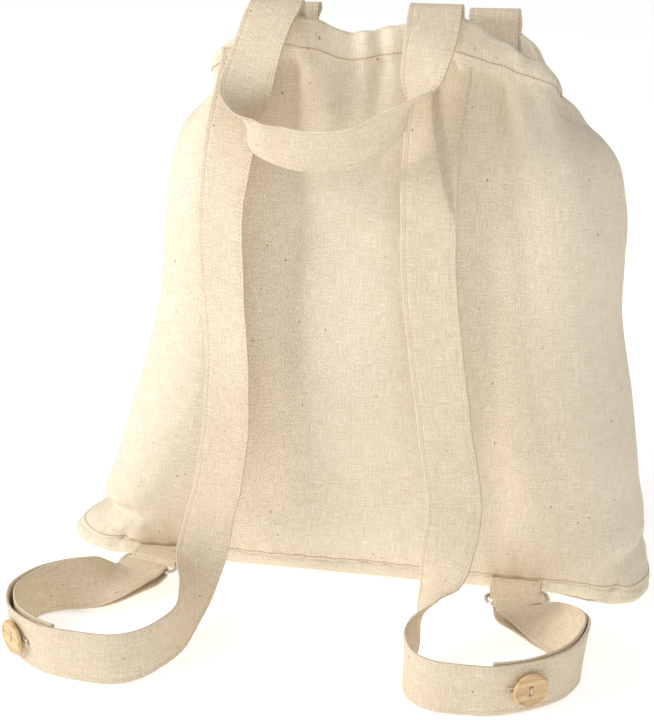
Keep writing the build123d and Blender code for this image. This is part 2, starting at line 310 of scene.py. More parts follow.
# The hem at the mouth: place along it from its middle, height of its seam, height of its edge,
# and how far the edge leans into the mouth. It stands highest where the pull loops cross it.
back_hem = [
    (-0.150, 0.366, 0.375, 0.000), (-0.125, 0.376, 0.389, 0.000), (-0.105, 0.386, 0.404, 0.000),
    (-0.087, 0.391, 0.418, 0.000), (-0.069, 0.394, 0.4245, 0.000), (-0.047, 0.394, 0.419, 0.000),
    (-0.025, 0.388, 0.412, 0.000), (-0.018, 0.387, 0.409, 0.001), (-0.009, 0.389, 0.412, 0.000),
    (0.011, 0.393, 0.4155, 0.000), (0.025, 0.394, 0.421, 0.000), (0.039, 0.394, 0.4245, 0.000),
    (0.055, 0.394, 0.4245, 0.000), (0.069, 0.390, 0.416, 0.000), (0.090, 0.386, 0.404, 0.000),
    (0.105, 0.381, 0.397, 0.001), (0.125, 0.374, 0.386, 0.002), (0.150, 0.365, 0.372, 0.002),
]
front_hem = [
    (-0.150, 0.362, 0.371, 0.000), (-0.115, 0.366, 0.386, 0.004), (-0.092, 0.370, 0.403, 0.000),
    (-0.073, 0.372, 0.410, 0.000), (-0.054, 0.371, 0.404, 0.002), (-0.025, 0.366, 0.389, 0.013),
    (0.010, 0.362, 0.383, 0.017), (0.040, 0.366, 0.392, 0.010), (0.058, 0.371, 0.407, 0.001),
    (0.071, 0.372, 0.410, 0.000), (0.090, 0.371, 0.402, 0.002), (0.115, 0.366, 0.384, 0.006),
    (0.150, 0.362, 0.370, 0.002),
]
hem_turn = 0.0035
cloth_thick = 0.0011
side_gap = 0.0016
hem_reach = 0.150  # the hem tables run this far to each side
panel_rows, panel_columns = 118, 170


def between(table, at):
    """A row of the table at any height, on a smooth curve through its rows."""
    rows = np.array(table)
    heights = rows[:, 0]
    at = min(max(at, heights[0]), heights[-1])
    i = min(int(np.searchsorted(heights, at, side="right")) - 1, len(rows) - 2)
    slopes = np.gradient(rows[:, 1:], heights, axis=0)
    span = heights[i + 1] - heights[i]
    t = (at - heights[i]) / span
    return (
        rows[i, 1:] * (2 * t**3 - 3 * t**2 + 1)
        + slopes[i] * span * (t**3 - 2 * t**2 + t)
        + rows[i + 1, 1:] * (3 * t**2 - 2 * t**3)
        + slopes[i + 1] * span * (t**3 - t**2)
    )


def round_the_bag(row, at):
    """Place and outward direction at a share, -1 to 1, of one half of the bag's outline."""
    half_width, half_depth, corner, shift = row
    flat = half_width - corner
    arc = math.pi / 2 * corner
    length = flat + arc + half_depth - corner
    s, side = abs(at) * length, math.copysign(1, at)
    if s <= flat:
        place, out = (s, half_depth), (0, 1)
    elif s <= flat + arc:
        a = (s - flat) / corner
        out = (math.sin(a), math.cos(a))
        place = (flat + corner * out[0], half_depth - corner + corner * out[1])
    else:
        place, out = (half_width, half_depth - corner - (s - flat - arc)), (1, 0)
    return shift + side * place[0], place[1], side * out[0], out[1], length


def hill(value, middle, width):
    return math.exp(-(((value - middle) / width) ** 2))


def step(value, low, high):
    t = min(max((value - low) / (high - low), 0.0), 1.0)
    return t * t * (3 - 2 * t)


# Folds that hang from the gathered mouth: where, how wide, how deep, how long, lean.
back_folds = [
    (-0.100, 0.009, 0.006, 0.060, -0.30),
    (-0.052, 0.011, 0.010, 0.055, -0.10),
    (-0.018, 0.006, 0.004, 0.030, 0.10),
    (0.012, 0.008, 0.003, 0.040, 0.0),
    (0.038, 0.006, 0.003, 0.030, 0.1),
    (0.084, 0.010, 0.008, 0.090, 0.12),
    (0.110, 0.006, 0.006, 0.040, 0.35),
    (0.134, 0.006, 0.016, 0.040, 0.40),
    (-0.118, 0.006, 0.008, 0.040, -0.40),
]
front_folds = [
    (-0.095, 0.010, 0.008, 0.060, -0.4),
    (-0.060, 0.008, 0.005, 0.050, -0.2),
    (-0.022, 0.007, 0.006, 0.080, 0.0),
    (0.015, 0.009, 0.006, 0.060, 0.0),
    (0.052, 0.007, 0.005, 0.050, 0.2),
    (0.085, 0.010, 0.009, 0.080, 0.3),
    (0.118, 0.007, 0.007, 0.050, 0.5),
]


def swell(x, z, folds, seed, top):
    """How far the cloth stands out from the plain form, in metres."""
    down = top - z
    out = 0.0045 * noise.noise((x * 9, z * 7, seed)) + 0.0018 * noise.noise((x * 26, z * 20, seed))
    for middle, width, depth, length, lean in folds:
        wide = width * (1 + down / length * 0.6)
        out -= depth * hill(x, middle + lean * down, wide) * math.exp(-max(down, 0) / length)
    pull = math.exp(-max(z - base_seam, 0) / 0.012)
    out -= 0.0012 * pull
    out += 0.0007 * math.exp(-max(z - base_seam, 0) / 0.02) * math.sin(x * 380 + seed)
    out += 0.0035 * hill(z, 0.045, 0.022)
    return out


def back_form(x, z):
    out = swell(x, z, back_folds, 2.0, 0.386)
    out -= 0.0075 * hill(x, 0.095 + (0.25 - z) * 0.05, 0.020) * step(z, 0.02, 0.08)
    out -= 0.0045 * hill(x, -0.052 - (0.25 - z) * 0.06, 0.016) * step(z, 0.02, 0.08)
    out += 0.0030 * hill(x, 0.020, 0.045) * hill(z, 0.18, 0.12)
    out -= 0.0110 * hill(z, 0.034 + 0.25 * (x + 0.205), 0.0060) * step(-x, 0.150, 0.195)
    out -= 0.0045 * hill(z, 0.022 - 0.40 * (x + 0.195), 0.0035) * step(-x, 0.150, 0.180)
    out -= 0.0050 * hill(z, 0.036 + 0.2 * (x - 0.2), 0.006) * step(x, 0.170, 0.205)
    return out


def ear(at, z):
    """The base's back corners puff out past the panel, softly, low down."""
    left = 0.021 * hill(at, -0.90, 0.13) * hill(z, 0.007, 0.015)
    right = 0.015 * hill(at, 0.80, 0.09) * hill(z, 0.005, 0.016)
    crease = 0.004 * hill(at, 0.72 + z * 2, 0.012) + 0.004 * hill(at, -0.76 + z * 2, 0.014)
    return left + right - crease * hill(z, 0.010, 0.020)


def front_form(x, z):
    out = swell(x, z, front_folds, 7.0, 0.372)
    out += 0.0030 * hill(x, -0.03, 0.07) * hill(z, 0.16, 0.10)
    out -= 0.0040 * hill(x, 0.07 - (0.2 - z) * 0.2, 0.018) * step(z, 0.03, 0.1)
    return out


def hem_at(hem, at):
    """The hem's seam height, edge height and lean at a share of its length."""
    stops = np.array(hem)
    return (float(np.interp(at * hem_reach, stops[:, 0], stops[:, k])) for k in (1, 2, 3))


def mouth_ripple(x, seed):
    """The gathers along the mouth: in and out, and the height of the edge."""
    run = x + 0.010 * noise.noise((x * 22, seed, 0.0))
    in_out = 0.0011 * math.sin(run * 300 + seed) + 0.0009 * math.sin(run * 170 + seed * 2)
    in_out += 0.0010 * noise.noise((x * 70, seed, 3.0))
    return in_out, 0.0008 * math.sin(run * 240 + seed * 3)


def hem_profile():
    """The hem in section: how far inside the plain form, and how far up from seam to edge."""
    found = [(-0.0020 * math.sin(math.pi * k / 8) ** 0.8, k / 8 * 0.92) for k in range(9)]
    for k in range(1, 9):
        a = math.pi * k / 8
        found.append((hem_turn * (1 - math.cos(a)), 0.92 + 0.08 * math.sin(a)))
    for k in range(1, 9):
        t = k / 8
        found.append((2 * hem_turn - 0.0045 * step(t, 0.7, 1.0), 0.92 * (1 - t)))
    return found


def bag_side(name, facing, table, hem, form, seed, replaced):
    """One side of the bag from its base seam up over the mouth and down inside the hem."""
    top = table[-1][0]
    rows = [
        ("panel", base_seam + (top - base_seam) * k / panel_rows) for k in range(panel_rows)
    ]
    rows += [("hem", item) for item in hem_profile()]
    points, places = [], []
    run, previous = 0.0, None
    for kind, item in rows:
        height = item if kind == "panel" else top
        row = between(table, height)
        for c in range(panel_columns + 1):
            at = -1 + 2 * c / panel_columns
            if kind == "hem":
                at *= 1 - side_gap / hem_reach
            x, y, nx, ny, length = round_the_bag(row, at)
            seam, edge, lean = hem_at(hem, at)
            gather = step(height, top - 0.06, top)
            ripple, lift = mouth_ripple(x, seed)
            side = step(abs(at), 0.955, 1.0)
            z = height + (seam - top) * gather
            if kind == "panel":
                out = form(x, height) * (1 - side) - 0.0012 * side * step(z, 0.02, 0.05)
                out *= 1 - 0.8 * step(height, top - 0.012, top)
                out += ripple * gather * (1 - side)
                out -= 0.0018 * hill(height, top, 0.0025)
            else:
                inset, rise = item
                inner = step(inset, 0.002, 0.006)
                out = (ripple * (1 - 0.75 * inner) + form(x, top) * 0.2) * (1 - side)
                out = out - inset - lean * rise
                z += rise * (edge - seam) + lift * rise
            if facing < 0:
                out += ear(at, z) if z < 0.08 else 0.0
            points.append((x + nx * out, facing * (y + ny * out), z))
            places.append((at * length, 0.0))
        middle = Vector(points[-panel_columns // 2 - 1])
        if previous is not None:
            run += (middle - previous).length
        previous = middle
        for c in range(panel_columns + 1):
            places[-1 - c] = (places[-1 - c][0], run)
    faces = []
    wide = panel_columns + 1
    for r in range(len(rows) - 1):
        for c in range(panel_columns):
            a, b = r * wide + c, r * wide + c + 1
            quad = (a, b, b + wide, a + wide)
            faces.append(quad if facing < 0 else quad[::-1])
    made = add_piece(name, points, faces, panel_canvas, places)
    thicken = made.modifiers.new("ply", "SOLIDIFY")
    thicken.thickness, thicken.offset = cloth_thick, -1
    settle(made)
    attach(made, "bag")
    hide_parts(*replaced)
    return made


back_cloth = bag_side(
    "back_cloth", -1, back_rows, back_hem, back_form, 1.0, ("back_panel", "back_channel")
)
front_cloth = bag_side(
    "front_cloth", 1, front_rows, front_hem, front_form, 4.0, ("front_panel", "front_channel")
)


# ---- The base --------------------------------------------------------------------------------
# A rectangle of the same canvas, turned up a finger's width all round and sewn to the two
# sides, so that the bag stands. Its corners puff out where the seams meet.
base_rows = [  # height, half width, half depth, corner, shift
    (0.0011, 0.203, 0.049, 0.033, 0.0),
    (0.0022, 0.2062, 0.0523, 0.034, 0.0),
    (0.0045, 0.2100, 0.0552, 0.036, 0.0),
    (0.0090, 0.2130, 0.0577, 0.037, 0.0),
    (0.0130, 0.2138, 0.0578, 0.038, 0.0),
    (0.0146, 0.2130, 0.0570, 0.038, 0.0),
    (0.0158, 0.2100, 0.0540, 0.038, 0.0),
]


def base_piece():
    around = 300
    points, places, faces = [], [], []
    rings = [("floor", share) for share in (0.15, 0.4, 0.65, 0.85, 0.97)]
    rings += [("side", row) for row in base_rows]
    for kind, item in rings:
        row = base_rows[0][1:] if kind == "floor" else item[1:]
        height = cloth_thick if kind == "floor" else item[0]
        for k in range(around):
            lap = 4 * k / around
            facing = -1 if lap < 2 else 1
            at = lap - 1 if lap < 2 else 3 - lap
            x, y, nx, ny, length = round_the_bag(row, at)
            pucker = 0.0005 * math.sin(x * 330)
            pucker += 0.0014 * noise.noise((x * 45, facing, height * 60))
            out = pucker * step(height, 0.002, 0.008)
            out += ear(at, height) if facing < 0 else 0.0
            share = item if kind == "floor" else 1.0
            points.append(((x + nx * out) * share, facing * (y + ny * out) * share, height))
            places.append((at * length * share, facing * (0.06 * share + height)))
    points.append((0, 0, cloth_thick))
    places.append((0, 0))
    for r in range(len(rings) - 1):
        for k in range(around):
            a, b = r * around + k, r * around + (k + 1) % around
            faces.append((a, b, b + around, a + around))
    hub = len(points) - 1
    for k in range(around):
        faces.append((hub, (k + 1) % around, k))
    made = add_piece("base_cloth", points, faces, panel_canvas, places)
    thicken = made.modifiers.new("ply", "SOLIDIFY")
    thicken.thickness, thicken.offset = cloth_thick, -1
    settle(made)
    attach(made, "bag")
    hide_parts("base_panel")


base_piece()


# ---- Stitches --------------------------------------------------------------------------------
# Cotton thread in short machine stitches that dip into the cloth at both ends: a shade lighter
# than the cloth on the straps. Along the bag's seams the thread is painted darker, as painted
# shade for the shadow line at each seam. A line of points carries them.
def thread_finish(name, low, high):
    f = Finish(name)
    solid = f.node("ShaderNodeTexCoord", out=3)
    twist = f.node("ShaderNodeTexNoise", inputs={"Vector": solid, "Scale": 2500.0})
    tint = f.tint(twist, low, high)
    f.shade(Base_Color=tint, Roughness=0.7, Sheen_Weight=0.2)
    return f.material


sewing_thread = thread_finish("sewing_thread", (0.74, 0.62, 0.46), (0.92, 0.84, 0.70))
# Darker than the real thread: painted shade, standing in for the shadow line along the mouth's and
# base's seams.
shadow_line_thread = thread_finish("shadow_line_thread", (0.50, 0.37, 0.235), (0.64, 0.50, 0.34))


def stitch_tree():
    tree = bpy.data.node_groups.new("Machine stitches", "GeometryNodeTree")
    face = tree.interface
    face.new_socket(name="Geometry", in_out="INPUT", socket_type="NodeSocketGeometry")
    for title in ("Stitch pitch", "Stitch length", "Thread radius", "Thread rise"):
        face.new_socket(name=title, in_out="INPUT", socket_type="NodeSocketFloat")
    face.new_socket(name="Thread", in_out="INPUT", socket_type="NodeSocketMaterial")
    face.new_socket(name="Geometry", in_out="OUTPUT", socket_type="NodeSocketGeometry")
    nodes, link = tree.nodes, tree.links.new
    given = nodes.new("NodeGroupInput")
    line = nodes.new("GeometryNodeMeshToCurve")
    link(given.outputs["Geometry"], line.inputs["Mesh"])
    spaced = nodes.new("GeometryNodeResampleCurve")
    spaced.mode = "LENGTH"
    link(line.outputs["Curve"], spaced.inputs["Curve"])
    link(given.outputs["Stitch pitch"], spaced.inputs["Length"])

    half = nodes.new("ShaderNodeMath")
    half.operation = "MULTIPLY"
    half.inputs[1].default_value = 0.5
    link(given.outputs["Stitch length"], half.inputs[0])
    back = nodes.new("ShaderNodeMath")
    back.operation = "MULTIPLY"
    back.inputs[1].default_value = -0.5
    link(given.outputs["Stitch length"], back.inputs[0])
    dip = nodes.new("ShaderNodeMath")
    dip.operation = "MULTIPLY"
    dip.inputs[1].default_value = -1.2
    link(given.outputs["Thread radius"], dip.inputs[0])
    ends = []
    for x, z in ((back, dip), (None, given), (half, dip)):
        point = nodes.new("ShaderNodeCombineXYZ")
        if x is not None:
            link(x.outputs[0], point.inputs["X"])
            link(z.outputs[0], point.inputs["Z"])
        else:
            link(given.outputs["Thread rise"], point.inputs["Z"])
        ends.append(point)
    bow = nodes.new("GeometryNodeCurveQuadraticBezier")
    bow.inputs["Resolution"].default_value = 4
    for point, socket in zip(ends, ("Start", "Middle", "End")):
        link(point.outputs["Vector"], bow.inputs[socket])
    round_ = nodes.new("GeometryNodeCurvePrimitiveCircle")
    round_.inputs["Resolution"].default_value = 5
    link(given.outputs["Thread radius"], round_.inputs["Radius"])
    thread = nodes.new("GeometryNodeCurveToMesh")
    thread.inputs["Fill Caps"].default_value = True
    link(bow.outputs["Curve"], thread.inputs["Curve"])
    link(round_.outputs["Curve"], thread.inputs["Profile Curve"])

    lie = nodes.new("GeometryNodeInputNamedAttribute")
    lie.data_type = "FLOAT_VECTOR"
    lie.inputs["Name"].default_value = "lie"
    way = nodes.new("GeometryNodeInputNamedAttribute")
    way.data_type = "FLOAT_VECTOR"
    way.inputs["Name"].default_value = "way"
    stand = nodes.new("FunctionNodeAxesToRotation")
    stand.primary_axis, stand.secondary_axis = "Z", "X"
    link(lie.outputs["Attribute"], stand.inputs["Primary Axis"])
    link(way.outputs["Attribute"], stand.inputs["Secondary Axis"])
    put = nodes.new("GeometryNodeInstanceOnPoints")
    link(spaced.outputs["Curve"], put.inputs["Points"])
    link(thread.outputs["Mesh"], put.inputs["Instance"])
    link(stand.outputs["Rotation"], put.inputs["Rotation"])
    real = nodes.new("GeometryNodeRealizeInstances")
    link(put.outputs["Instances"], real.inputs["Geometry"])
    dye = nodes.new("GeometryNodeSetMaterial")
    link(real.outputs["Geometry"], dye.inputs["Geometry"])
    link(given.outputs["Thread"], dye.inputs["Material"])
    made = nodes.new("NodeGroupOutput")
    link(dye.outputs["Geometry"], made.inputs["Geometry"])
    return tree


machine_stitches = stitch_tree()


def sew(name, lines, thread, pitch=0.0030, length=0.0025, radius=0.00034, rise=0.0009):
    """Stitches along lines of (place, way, lie)."""
    points, edges, ways, lies = [], [], [], []
    for line in lines:
        for k, (place, way, lie) in enumerate(line):
            if k:
                edges.append((len(points) - 1, len(points)))
            points.append(tuple(place))
            ways.extend(way)
            lies.extend(lie)
    mesh = bpy.data.meshes.new(name)
    mesh.from_pydata(points, edges, [])
    mesh.attributes.new("way", "FLOAT_VECTOR", "POINT").data.foreach_set("vector", ways)
    mesh.attributes.new("lie", "FLOAT_VECTOR", "POINT").data.foreach_set("vector", lies)
    made = bpy.data.objects.new(name, mesh)
    bpy.context.collection.objects.link(made)
    maker = made.modifiers.new("stitches", "NODES")
    maker.node_group = machine_stitches
    sockets = {
        item.name: item.identifier
        for item in machine_stitches.interface.items_tree
        if item.in_out == "INPUT"
    }
    maker[sockets["Stitch pitch"]] = pitch
    maker[sockets["Stitch length"]] = length
    maker[sockets["Thread radius"]] = radius
    maker[sockets["Thread rise"]] = rise
    maker[sockets["Thread"]] = thread
    settle(made)
    made.data.polygons.foreach_set("use_smooth", [True] * len(made.data.polygons))
    return made


def lines_on(made, rows_at, facing, first=0.0, last=1.0):
    """Stitch lines that follow given rows of one of the bag's sides."""
    wide = panel_columns + 1
    found = []
    for r in rows_at:
        line = []
        picked = range(int(first * panel_columns), int(last * panel_columns) + 1)
        places = [made.data.vertices[r * wide + c].co.copy() for c in picked]
        above = [made.data.vertices[(r + 1) * wide + c].co.copy() for c in picked]
        for k, place in enumerate(places):
            way = places[min(k + 1, len(places) - 1)] - places[max(k - 1, 0)]
            up = above[k] - place
            lie = way.cross(up).normalized() * (1 if facing < 0 else -1)
            line.append((place + lie * 0.0001, way.normalized(), lie))
        found.append(line)
    return found


seam_rows = (panel_rows + 2, 1)  # just over the mouth's seam, and just over the base's
for side, made, facing in (("back", back_cloth, -1), ("front", front_cloth, 1)):
    lines = lines_on(made, seam_rows, facing)
    # These seam stitches carry the painted shade of the seam lines.
    seams = sew(f"{side}_seam_stitches", lines, shadow_line_thread, pitch=0.0026, radius=0.00038)
    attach(seams, "bag")


# ---- Flat bands: how a strap is built ----------------------------------------------------------
# A strip of the same canvas folded to two plies, pressed flat and topstitched near both edges,
# which leaves the edges slightly rounded and the cloth drawn in along the stitching.
band_section = [  # share of the half width, share of the half thickness
    (-1.0, 0.0), (-0.990, 0.62), (-0.955, 1.05), (-0.900, 1.10), (-0.840, 0.50),
    (-0.775, 1.0), (-0.64, 1.04), (-0.52, 1.04), (-0.40, 1.0), (-0.28, 1.0), (-0.16, 1.0),
    (-0.05, 1.0), (0.05, 1.0), (0.16, 1.0), (0.28, 1.0), (0.40, 1.0), (0.52, 1.04),
    (0.64, 1.04), (0.775, 1.0), (0.840, 0.50), (0.900, 1.10), (0.955, 1.05), (0.990, 0.62),
    (1.0, 0.0),
]
stitch_share = 0.84


def glide(rows, at):
    """A point, and anything else in the rows, on the smooth curve through them."""
    i = min(int(at), len(rows) - 2)
    u = at - i
    b, c = rows[i], rows[i + 1]
    a = rows[i - 1] if i > 0 else b * 2 - c
    d = rows[i + 2] if i + 2 < len(rows) else c * 2 - b
    return 0.5 * (
        b * 2 + (c - a) * u + (a * 2 - b * 5 + c * 4 - d) * u * u + (b * 3 - a - c * 3 + d) * u**3
    )


def band_frames(route, first, last, stride=0.0028):
    """Frames (middle, width direction, normal) along a route, about a stride apart."""
    middles = [Vector(p) for p, e in route]
    widths = [Vector(e).normalized() for p, e in route]
    found, at = [], first
    while True:
        ahead = glide(middles, min(at + 0.02, len(route) - 1))
        behind = glide(middles, max(at - 0.02, 0))
        heading = (ahead - behind).normalized()
        width = glide(widths, at)
        width = (width - heading * width.dot(heading)).normalized()
        found.append((glide(middles, at), width, width.cross(heading).normalized()))
        if at >= last:
            return found
        pace = (ahead - behind).length / (min(at + 0.02, len(route) - 1) - max(at - 0.02, 0))
        at = min(last, at + stride / max(pace, 0.004))


def rumpled(frames, seed, amount):
    """The frames with the small unevenness that pressed cloth keeps."""
    found, run = [], 0.0
    for k, (middle, width, normal) in enumerate(frames):
        if k:
            run += (middle - frames[k - 1][0]).length
        ends = step(k, 0, 12) * step(len(frames) - 1 - k, 0, 12)
        out = amount * noise.noise((run * 22, seed, 0.0)) * ends
        side = amount * 0.35 * noise.noise((run * 31, seed, 5.0)) * ends
        tip = 0.035 * noise.noise((run * 17, seed, 9.0)) * ends
        turned_width = (width + normal * tip).normalized()
        turned_normal = (normal - width * tip).normalized()
        found.append((middle + normal * out + width * side, turned_width, turned_normal))
    return found


def face_outwards(piece):
    work = bmesh.new()
    work.from_mesh(piece.data)
    bmesh.ops.recalc_face_normals(work, faces=work.faces)
    work.to_mesh(piece.data)
    work.free()


def length_of(frames):
    return sum((frames[k + 1][0] - frames[k][0]).length for k in range(len(frames) - 1))


def band_piece(name, frames, width, thick, finish, form=None):
    """A closed band through the frames. form(run, share) lifts the cloth off its plain line."""
    ring = [(a, t) for a, t in band_section]
    ring += [(a, -t) for a, t in reversed(band_section[1:-1])]
    points, places, faces = [], [], []
    run = 0.0
    for k, (middle, across, normal) in enumerate(frames):
        if k:
            run += (middle - frames[k - 1][0]).length
        for a, t in ring:
            lift = form(run, a) if form else 0.0
            points.append(middle + across * (a * width / 2) + normal * (t * thick / 2 - lift))
            places.append((a * width / 2 + (0.5 if t < 0 else 0.0), run))
    count = len(ring)
    for k in range(len(frames) - 1):
        for j in range(count):
            a, b = k * count + j, k * count + (j + 1) % count
            faces.append((a, b, b + count, a + count))
    faces.append(tuple(reversed(range(count))))
    faces.append(tuple(range((len(frames) - 1) * count, len(frames) * count)))
    made = add_piece(name, points, faces, finish, places)
    face_outwards(made)
    return made


def edge_lines(frames, width, thick, form=None, faces=(1, -1), skip=2):
    """The topstitching of a band: near both edges, on the chosen faces."""
    found = []
    for face in faces:
        for side in (-1, 1):
            line, run = [], 0.0
            for k, (middle, across, normal) in enumerate(frames):
                if k:
                    run += (middle - frames[k - 1][0]).length
                lift = form(run, side * stitch_share) if form else 0.0
                place = middle + across * (side * stitch_share * width / 2)
                place = place + normal * (face * (thick / 2 * 0.6 + 0.0001) - lift)
                way = frames[min(k + 1, len(frames) - 1)][0] - frames[max(k - 1, 0)][0]
                line.append((place, way.normalized(), normal * face))
            found.append(line[skip : len(line) - skip])
    return found


# ---- Pull loops --------------------------------------------------------------------------------
# Two flat loops of strap cloth, one at each side of the mouth. Each is sewn in behind the hem,
# turns over the edge, and twists so that it hangs crumpled in front of the bag's cloth.
pull_width, pull_thick = 0.036, 0.0016
hinge_y, hinge_z = -0.037, 0.4305
back_roots, front_roots = (-0.060, 0.048), (-0.064, 0.080)
pull_middle = [
    ((-0.06, -0.046, 0.4285), (1, 0, 0)),
    ((-0.064, -0.057, 0.418), (1, -0.1, 0)),
    ((-0.0685, -0.069, 0.401), (0.97, -0.2, -0.1)),
    ((-0.0715, -0.08, 0.386), (0.97, 0.05, -0.1)),
    ((-0.0722, -0.087, 0.376), (0.9, 0.35, -0.3)),
    ((-0.0712, -0.093, 0.366), (0.5, 0.66, -0.55)),
    ((-0.0675, -0.098, 0.356), (-0.1, 0.7, -0.72)),
    ((-0.059, -0.102, 0.3495), (-0.3, 0.64, -0.72)),
    ((-0.0442, -0.1045, 0.3465), (-0.25, 0.5, -0.83)),
    ((-0.024, -0.106, 0.3445), (-0.1, 0.45, -0.88)),
    ((0.006, -0.104, 0.349), (-0.1, 0.5, -0.87)),
    ((0.028, -0.098, 0.362), (-0.2, 0.4, -0.87)),
    ((0.042, -0.088, 0.38), (-0.6, 0.3, -0.7)),
    ((0.046, -0.078, 0.398), (-0.92, 0.2, -0.3)),
    ((0.048, -0.062, 0.416), (-1, 0, 0)),
    ((0.048, -0.047, 0.428), (-1, 0, 0)),
]


def pull_root(x, way):
    inside = -0.0316
    across = (way, 0, 0)
    return [
        ((x, inside, 0.397), across),
        ((x, inside, 0.412), across),
        ((x, inside - 0.0002, 0.424), across),
        ((x, inside - 0.0018, 0.4292), across),
        ((x, hinge_y, hinge_z), across),
    ]


def pull_loop(name, facing, roots, drop, seed):
    drawn = back_roots[1] - back_roots[0]
    spread = (roots[1] - roots[0]) / drawn
    route = pull_root(roots[0], 1)
    route += [((roots[0], -0.040, hinge_z), (1, 0, 0))]
    for (x, y, z), across in pull_middle:
        route.append(((roots[0] + (x - back_roots[0]) * spread, y, z), across))
    route += [((roots[1], -0.040, hinge_z), (-1, 0, 0))]
    route += pull_root(roots[1], -1)[::-1]
    frames = rumpled(band_frames(route, 0, len(route) - 1), seed, 0.0012)
    if facing > 0:
        flip = Matrix.Diagonal((1, -1, 1))
        down = Vector((0, 0, -drop))
        frames = [(flip @ m + down, flip @ w, flip @ n) for m, w, n in frames]
    side = "back" if facing < 0 else "front"
    band = band_piece(name, frames, pull_width, pull_thick, strap_canvas)
    seams = sew(f"{name}_stitches", edge_lines(frames, pull_width, pull_thick), sewing_thread)
    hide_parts(f"{side}_pull_loop", f"{side}_loop_roots")
    for piece in (band, seams):
        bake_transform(piece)
    round(length_of(frames), 3)


pull_loop("back_pull_band", -1, back_roots, 0.0, 3.0)
pull_loop("front_pull_band", 1, front_roots, front_drop, 8.0)


# ---- Shoulder straps -----------------------------------------------------------------------
# Each strap is one long two-ply band. It is sewn in at the hem, hangs down the back, loops
# out over the ground, goes round a ring on the base, and comes back inside itself to a button.
strap_width, strap_thick = 0.038, 0.0018
layer_gap, fold_radius = 0.004, 0.0045
left_route = [
    ((-0.081, -0.0385, 0.396), (1, 0, 0)),
    ((-0.082, -0.043, 0.384), (1, 0, 0)),
    ((-0.087, -0.063, 0.350), (1, 0, 0)),
    ((-0.092, -0.079, 0.300), (0.93, -0.38, 0)),
    ((-0.092, -0.086, 0.250), (0.93, -0.38, 0)),
    ((-0.088, -0.091, 0.200), (0.93, -0.38, 0)),
    ((-0.089, -0.094, 0.150), (0.95, -0.3, 0)),
    ((-0.093, -0.097, 0.105), (0.97, -0.24, 0)),
    ((-0.102, -0.103, 0.063), (0.96, -0.15, -0.24)),
    ((-0.106, -0.119, 0.035), (0.75, 0.15, -0.63)),
    ((-0.105, -0.148, 0.021), (0.33, 0.3, -0.9)),
    ((-0.104, -0.183, 0.020), (0.1, 0.1, -1)),
    ((-0.116, -0.212, 0.020), (0, 0, -1)),
    ((-0.136, -0.227, 0.020), (0, 0, -1)),
    ((-0.162, -0.229, 0.020), (0, 0, -1)),
    ((-0.192, -0.222, 0.020), (0, 0, -1)),
    ((-0.217, -0.204, 0.020), (0, 0, -1)),
    ((-0.228, -0.176, 0.020), (0, 0, -1)),
    ((-0.220, -0.151, 0.020), (0, 0, -1)),
    ((-0.204, -0.138, 0.020), (0.1, -0.1, -1)),
    ((-0.188, -0.130, 0.018), (0.45, -0.25, -0.85)),
    ((-0.172, -0.118, 0.013), (0.85, -0.3, -0.4)),
]
right_route = [
    ((0.054, -0.0385, 0.398), (1, 0, 0)),
    ((0.054, -0.043, 0.384), (1, 0, 0)),
    ((0.051, -0.069, 0.345), (1, 0, 0)),
    ((0.052, -0.086, 0.300), (1, 0, 0)),
    ((0.055, -0.095, 0.250), (1, 0, 0)),
    ((0.062, -0.101, 0.200), (1, 0, 0)),
    ((0.070, -0.109, 0.152), (1, 0, 0.05)),
    ((0.078, -0.118, 0.112), (0.98, 0.05, 0.1)),
    ((0.079, -0.124, 0.088), (0.97, 0.1, 0.2)),
    ((0.073, -0.137, 0.055), (0.88, -0.2, 0.43)),
    ((0.066, -0.150, 0.040), (0.5, -0.65, 0.58)),
    ((0.060, -0.167, 0.027), (-0.1, -0.6, 0.8)),
    ((0.055, -0.188, 0.020), (0, 0, 1)),
    ((0.062, -0.207, 0.020), (0, 0, 1)),
    ((0.079, -0.217, 0.020), (0, 0, 1)),
    ((0.105, -0.218, 0.020), (0, 0, 1)),
    ((0.125, -0.214, 0.020), (0, 0, 1)),
    ((0.146, -0.203, 0.020), (0, 0, 1)),
    ((0.165, -0.184, 0.020), (0, 0, 1)),
    ((0.174, -0.160, 0.020), (0.1, 0, 1)),
    ((0.166, -0.137, 0.018), (0.6, 0.2, 0.78)),
    ((0.148, -0.117, 0.013), (0.85, 0.3, 0.42)),
]
left_ring = (-12.0, Vector((-0.154, -0.073, 0.010)))
right_ring = (15.0, Vector((0.121, -0.072, 0.010)))
ring_pitch = 0.017
# Stations along the routes: the worn button, the strap's end, the spare buttonhole.
left_stations = (15.7, 14.6, 19.4)
right_stations = (16.7, 15.65, 20.4)


def ring_lines(ring):
    """The ring's bar direction, the direction to the bag, and the strap bar's middle."""
    a = math.radians(ring[0])
    along = Vector((math.cos(a), math.sin(a), 0))
    inward = Vector((-math.sin(a), math.cos(a), 0))
    return along, inward, ring[1] - inward * ring_pitch + Vector((0, 0, 0.001))


def slit_round(frame, length, width):
    """A thin stadium block through a band, to cut a buttonhole with."""
    middle, across, normal = frame
    way = normal.cross(across)
    rim = []
    for k in range(16):
        a = 2 * math.pi * k / 16
        shift = (length - width) / 2 * (1 if math.cos(a) > 0 else -1)
        rim.append((shift + width / 2 * math.cos(a), width / 2 * math.sin(a)))
    points = []
    for deep in (-0.0025, 0.0025):
        points += [middle + way * u + across * v + normal * deep for u, v in rim]
    faces = [(k, (k + 1) % 16, 16 + (k + 1) % 16, 16 + k) for k in range(16)]
    faces += [tuple(reversed(range(16))), tuple(range(16, 32))]
    block = add_piece("slit", points, faces, strap_canvas)
    face_outwards(block)
    return block


def cut_out(piece, block):
    cutter = piece.modifiers.new("cut", "BOOLEAN")
    cutter.operation, cutter.solver, cutter.object = "DIFFERENCE", "EXACT", block
    settle(piece)
    bpy.data.objects.remove(block)


